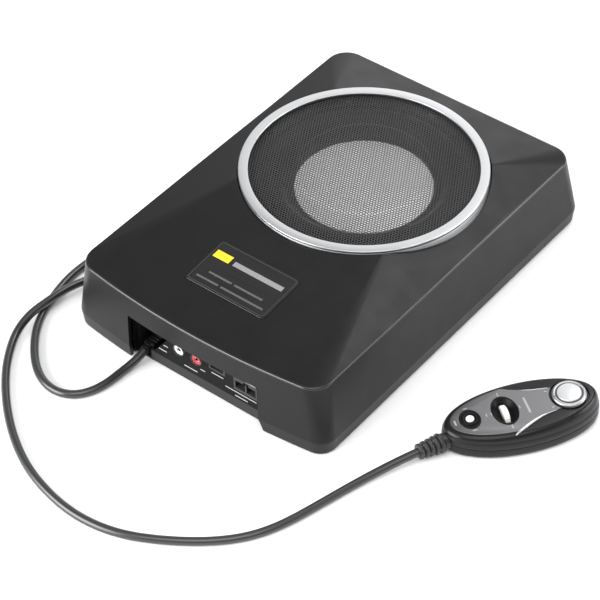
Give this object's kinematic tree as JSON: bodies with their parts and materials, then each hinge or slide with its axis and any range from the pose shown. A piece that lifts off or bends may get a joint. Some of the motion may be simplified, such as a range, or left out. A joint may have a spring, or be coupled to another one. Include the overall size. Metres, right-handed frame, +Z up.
{
  "type": "powered car subwoofer",
  "caption": "Flat under-seat powered subwoofer with a round driver under a mesh grille, a recessed connector panel and a wired remote with a knob, a thumb wheel and a button.",
  "frame": {"origin": "on the floor under the middle of the housing's rim rectangle, 1.5 mm below the middle of the base pan's flat underside", "axes": "+Z up out of the grille, -Y out of the connector panel, +X to the right seen from the connector side, where the remote lies"},
  "size_m": [0.3436, 0.4056, 0.064],
  "materials": {
    "housing_black": "fine textured black paint, satin",
    "silver_ring": "satin silver",
    "mesh_black": "black painted wire mesh",
    "badge_black": "brushed dark plate",
    "cone_silver": "satin silver diaphragm",
    "cone_paper": "matt pulp cone",
    "rubber_black": "soft satin rubber",
    "cord_black": "smooth satin cord jacket",
    "basket_black": "semi-gloss black paint",
    "steel": "zinc plated",
    "screw_black": "black oxide",
    "ferrite": "ground ferrite",
    "copper": "enamelled copper",
    "kapton": "amber film",
    "spider_cloth": "resin-treated woven cloth",
    "board_green": "solder mask",
    "alu_fin": "extruded, as drawn",
    "chip_black": "moulded epoxy",
    "cap_sleeve": "shrink sleeve",
    "fuse_red": "translucent plastic",
    "panel_black": "fine textured",
    "plastic_white": "glossy moulded",
    "plastic_red": "glossy moulded",
    "nickel": "bright nickel",
    "gold_contact": "gold flash",
    "socket_grey": "moulded nylon",
    "remote_black": "satin moulded",
    "face_grey": "dark metallic lacquer",
    "knob_silver": "spun satin",
    "wheel_white": "satin moulded",
    "lens_white": "milky light window"
  },
  "bodies": {
    "unit": {"top_shell": "housing_black", "base_pan": "housing_black", "rubber_feet": "rubber_black", "base_screws": "screw_black", "trim_ring": "silver_ring", "collar": "silver_ring", "grille_mesh": "mesh_black", "grille_retainer": "basket_black", "badge": "badge_black", "basket": "basket_black", "basket_gasket": "rubber_black", "driver_screws": "screw_black", "surround": "rubber_black", "surround_clamp": "basket_black", "spider": "spider_cloth", "top_plate": "steel", "ring_magnet": "ferrite", "yoke": "steel", "driver_terminals": "plastic_red", "speaker_leads": "cord_black", "amp_board": "board_green", "board_standoffs": "gold_contact", "heat_sink": "alu_fin", "power_transistors": "chip_black", "toroid_choke": "copper", "capacitors": "cap_sleeve", "fuse": "fuse_red", "pocket_liner": "panel_black", "connector_panel": "panel_black", "panel_screws": "steel", "rca_jack_white": "plastic_white", "rca_jack_red": "plastic_red", "rca_barrels": "nickel", "rca_contacts": "gold_contact", "input_socket": "plastic_white", "power_socket": "socket_grey", "socket_pins": "gold_contact", "remote_socket": "panel_black", "remote_plug": "panel_black", "remote_cord": "cord_black", "remote_boot": "rubber_black", "remote_base": "remote_black", "remote_cover": "remote_black", "remote_face": "face_grey", "remote_pads": "rubber_black", "remote_screws": "screw_black", "remote_board": "board_green", "volume_pot": "socket_grey", "wheel_cradle": "remote_black", "button_bezel": "remote_black", "push_switch": "chip_black"},
    "cone_assembly": {"cone": "cone_paper", "cone_cap": "cone_silver", "voice_coil_former": "kapton", "voice_coil_winding": "copper"},
    "knob": {"volume_knob": "knob_silver", "volume_shaft": "nickel"},
    "thumb_wheel": {"crossover_wheel": "wheel_white"},
    "button": {"phase_button": "remote_black", "button_lens": "lens_white"}
  },
  "joints": [
    {"name": "cone_travel", "type": "slide", "parent": "unit", "child": "cone_assembly", "axis": [0, 0, 1], "range_m": [-0.005, 0.005], "stiffness_N_per_m": 2000, "deforming": ["surround", "spider"]},
    {"name": "volume_turn", "type": "hinge", "parent": "unit", "child": "knob", "pos_m": [0.19511, -0.01857, 0.01948], "axis": [-0.0243, -0.0341, 0.9991], "range_deg": [-150, 150]},
    {"name": "crossover_turn", "type": "hinge", "parent": "unit", "child": "thumb_wheel", "pos_m": [0.17125, -0.05203, 0.0116], "axis": [0.5807, 0.8141, 0], "range_deg": [-135, 135]},
    {"name": "phase_press", "type": "slide", "parent": "unit", "child": "button", "axis": [-0.0243, -0.0341, 0.9991], "range_m": [-0.0012, 0], "stiffness_N_per_m": 300}
  ]
}
